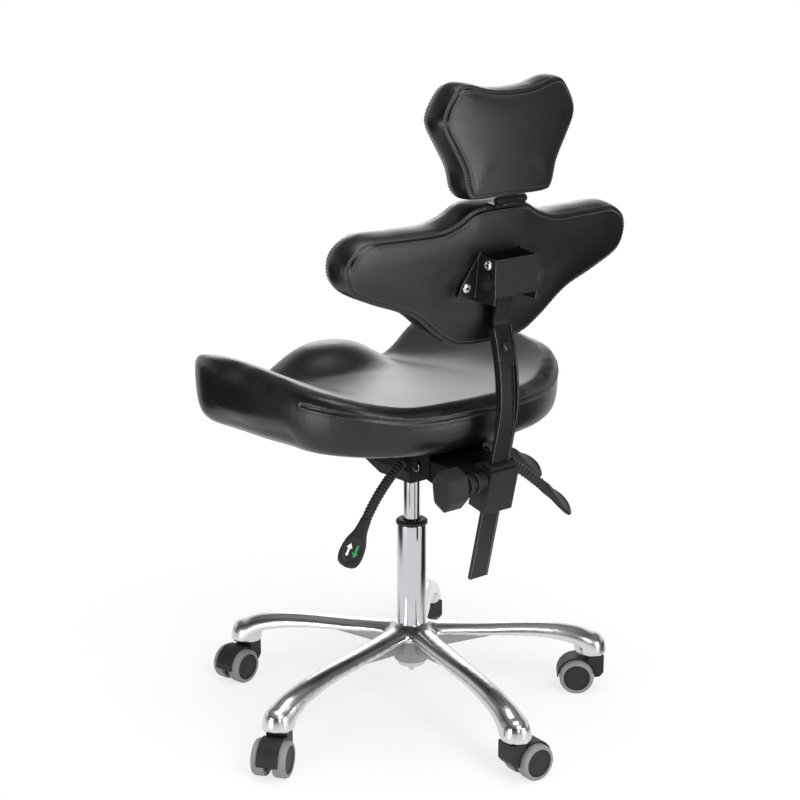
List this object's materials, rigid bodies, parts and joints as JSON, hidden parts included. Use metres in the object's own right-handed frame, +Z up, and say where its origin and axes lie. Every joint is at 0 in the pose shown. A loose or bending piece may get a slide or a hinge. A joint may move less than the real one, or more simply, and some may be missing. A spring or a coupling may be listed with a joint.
{
  "type": "work stool",
  "caption": "Swivel work stool with a winged saddle seat, a winged back pad and a headrest on a bent stem, levers, a gas column and a castor base.",
  "frame": {"origin": "on the floor, on the axis of the gas column", "axes": "+Z up the gas column, -Y the way the sitter faces, +X the sitter's left"},
  "size_m": [0.699, 0.6733, 1.0981],
  "materials": {
    "cast_aluminium": "polished casting",
    "chrome": "bright plating",
    "black_steel": "satin black paint",
    "black_plastic": "fine moulded grain",
    "leatherette": "black leatherette with a soft sheen",
    "plywood": "bare board under the cover",
    "grey_tyre": "matt grey tread"
  },
  "bodies": {
    "base": {"base_star": "cast_aluminium", "column_tube": "chrome", "column_collar": "black_plastic", "piston_rod": "chrome", "column_clip": "chrome"},
    "lift": {"gas_cylinder": "chrome"},
    "swivel": {"mechanism_housing": "black_steel"},
    "seat": {"seat_plate": "black_steel", "tilt_pin": "chrome", "seat_board": "plywood", "seat_cushion": "leatherette"},
    "recline": {"recline_arm": "black_steel", "recline_pin": "chrome", "back_socket": "black_plastic", "socket_liner": "black_plastic"},
    "knob": {"clamp_knob": "black_plastic"},
    "stem": {"back_stem": "black_steel", "back_strap": "black_steel", "strap_bolt": "black_steel"},
    "back": {"back_bracket": "black_steel", "bracket_bolt": "black_steel", "back_board": "plywood", "back_pad": "leatherette", "head_bracket": "black_steel"},
    "head": {"head_hinge": "black_steel", "head_pin": "chrome", "head_board": "plywood", "head_pad": "leatherette"},
    "tilt_lever": {"tilt_lever_arm": "black_plastic", "tilt_lever_paddle": "black_plastic"},
    "lift_lever": {"lift_lever_arm": "black_plastic", "lift_lever_paddle": "black_plastic"},
    "recline_lever": {"recline_lever_arm": "black_plastic", "recline_lever_paddle": "black_plastic"},
    "caster_1": {"caster_1_body": "black_plastic"},
    "caster_1_wheel_a": {"caster_1_wheel_a": "black_plastic", "caster_1_tyre_a": "grey_tyre"},
    "caster_1_wheel_b": {"caster_1_wheel_b": "black_plastic", "caster_1_tyre_b": "grey_tyre"},
    "caster_2": {"caster_2_body": "black_plastic"},
    "caster_2_wheel_a": {"caster_2_wheel_a": "black_plastic", "caster_2_tyre_a": "grey_tyre"},
    "caster_2_wheel_b": {"caster_2_wheel_b": "black_plastic", "caster_2_tyre_b": "grey_tyre"},
    "caster_3": {"caster_3_body": "black_plastic"},
    "caster_3_wheel_a": {"caster_3_wheel_a": "black_plastic", "caster_3_tyre_a": "grey_tyre"},
    "caster_3_wheel_b": {"caster_3_wheel_b": "black_plastic", "caster_3_tyre_b": "grey_tyre"},
    "caster_4": {"caster_4_body": "black_plastic"},
    "caster_4_wheel_a": {"caster_4_wheel_a": "black_plastic", "caster_4_tyre_a": "grey_tyre"},
    "caster_4_wheel_b": {"caster_4_wheel_b": "black_plastic", "caster_4_tyre_b": "grey_tyre"},
    "caster_5": {"caster_5_body": "black_plastic"},
    "caster_5_wheel_a": {"caster_5_wheel_a": "black_plastic", "caster_5_tyre_a": "grey_tyre"},
    "caster_5_wheel_b": {"caster_5_wheel_b": "black_plastic", "caster_5_tyre_b": "grey_tyre"}
  },
  "joints": [
    {"name": "lift", "type": "slide", "parent": "base", "child": "lift", "axis": [0, 0, 1], "range_m": [-0.07, 0.06]},
    {"name": "seat_swivel", "type": "hinge", "parent": "lift", "child": "swivel", "pos_m": [0, 0, 0.43], "axis": [0, 0, 1], "continuous": true},
    {"name": "seat_tilt", "type": "hinge", "parent": "swivel", "child": "seat", "pos_m": [0, -0.05, 0.468], "axis": [-1, 0, 0], "range_deg": [-4, 6]},
    {"name": "recline", "type": "hinge", "parent": "seat", "child": "recline", "pos_m": [0, 0.085, 0.466], "axis": [-1, 0, 0], "range_deg": [-4, 16]},
    {"name": "stem_slide", "type": "slide", "parent": "recline", "child": "stem", "axis": [0, 0.225, 0.9744], "range_m": [-0.012, 0.08]},
    {"name": "knob_turn", "type": "hinge", "parent": "recline", "child": "knob", "pos_m": [0.09, 0.2076, 0.46559], "axis": [1, 0, 0], "range_deg": [0, 360]},
    {"name": "back_tilt", "type": "hinge", "parent": "stem", "child": "back", "pos_m": [0, 0.22941, 0.80047], "axis": [-1, 0, 0], "range_deg": [-5, 10]},
    {"name": "head_tilt", "type": "hinge", "parent": "back", "child": "head", "pos_m": [0, 0.23028, 0.91421], "axis": [-1, 0, 0], "range_deg": [-10, 15]},
    {"name": "tilt_lever_pull", "type": "hinge", "parent": "seat", "child": "tilt_lever", "pos_m": [0.0703, 0.06, 0.47], "axis": [0, -1, 0], "range_deg": [0, 12], "stiffness_Nm_per_rad": 0.5, "springref_deg": -5.73},
    {"name": "lift_lever_pull", "type": "hinge", "parent": "seat", "child": "lift_lever", "pos_m": [-0.0703, 0.02, 0.47], "axis": [0, 1, 0], "range_deg": [0, 12], "stiffness_Nm_per_rad": 0.5, "springref_deg": -5.73},
    {"name": "recline_lever_pull", "type": "hinge", "parent": "seat", "child": "recline_lever", "pos_m": [-0.0703, 0.105, 0.47], "axis": [0, 1, 0], "range_deg": [0, 12], "stiffness_Nm_per_rad": 0.5, "springref_deg": -5.73},
    {"name": "caster_1_swivel", "type": "hinge", "parent": "base", "child": "caster_1", "pos_m": [0.3216, 0.04692, 0.07], "axis": [0, 0, 1], "continuous": true},
    {"name": "caster_1_spin_a", "type": "hinge", "parent": "caster_1", "child": "caster_1_wheel_a", "pos_m": [0.34289, 0.06183, 0.03], "axis": [-0.5736, 0.8192, 0], "continuous": true},
    {"name": "caster_1_spin_b", "type": "hinge", "parent": "caster_1", "child": "caster_1_wheel_b", "pos_m": [0.34289, 0.06183, 0.03], "axis": [-0.5736, 0.8192, 0], "continuous": true},
    {"name": "caster_2_swivel", "type": "hinge", "parent": "base", "child": "caster_2", "pos_m": [0.05476, 0.32035, 0.07], "axis": [0, 0, 1], "continuous": true},
    {"name": "caster_2_spin_a", "type": "hinge", "parent": "caster_2", "child": "caster_2_wheel_a", "pos_m": [0.02882, 0.32217, 0.03], "axis": [-0.0698, -0.9976, 0], "continuous": true},
    {"name": "caster_2_spin_b", "type": "hinge", "parent": "caster_2", "child": "caster_2_wheel_b", "pos_m": [0.02882, 0.32217, 0.03], "axis": [-0.0698, -0.9976, 0], "continuous": true},
    {"name": "caster_3_swivel", "type": "hinge", "parent": "base", "child": "caster_3", "pos_m": [-0.28775, 0.15107, 0.07], "axis": [0, 0, 1], "continuous": true},
    {"name": "caster_3_spin_a", "type": "hinge", "parent": "caster_3", "child": "caster_3_wheel_a", "pos_m": [-0.26843, 0.13368, 0.03], "axis": [0.6691, 0.7431, 0], "continuous": true},
    {"name": "caster_3_spin_b", "type": "hinge", "parent": "caster_3", "child": "caster_3_wheel_b", "pos_m": [-0.26843, 0.13368, 0.03], "axis": [0.6691, 0.7431, 0], "continuous": true},
    {"name": "caster_4_swivel", "type": "hinge", "parent": "base", "child": "caster_4", "pos_m": [-0.2326, -0.22698, 0.07], "axis": [0, 0, 1], "continuous": true},
    {"name": "caster_4_spin_a", "type": "hinge", "parent": "caster_4", "child": "caster_4_wheel_a", "pos_m": [-0.23033, -0.25289, 0.03], "axis": [0.9962, 0.0872, 0], "continuous": true},
    {"name": "caster_4_spin_b", "type": "hinge", "parent": "caster_4", "child": "caster_4_wheel_b", "pos_m": [-0.23033, -0.25289, 0.03], "axis": [0.9962, 0.0872, 0], "continuous": true},
    {"name": "caster_5_swivel", "type": "hinge", "parent": "base", "child": "caster_5", "pos_m": [0.144, -0.29136, 0.07], "axis": [0, 0, 1], "continuous": true},
    {"name": "caster_5_spin_a", "type": "hinge", "parent": "caster_5", "child": "caster_5_wheel_a", "pos_m": [0.16943, -0.28595, 0.03], "axis": [-0.2079, 0.9781, 0], "continuous": true},
    {"name": "caster_5_spin_b", "type": "hinge", "parent": "caster_5", "child": "caster_5_wheel_b", "pos_m": [0.16943, -0.28595, 0.03], "axis": [-0.2079, 0.9781, 0], "continuous": true}
  ]
}
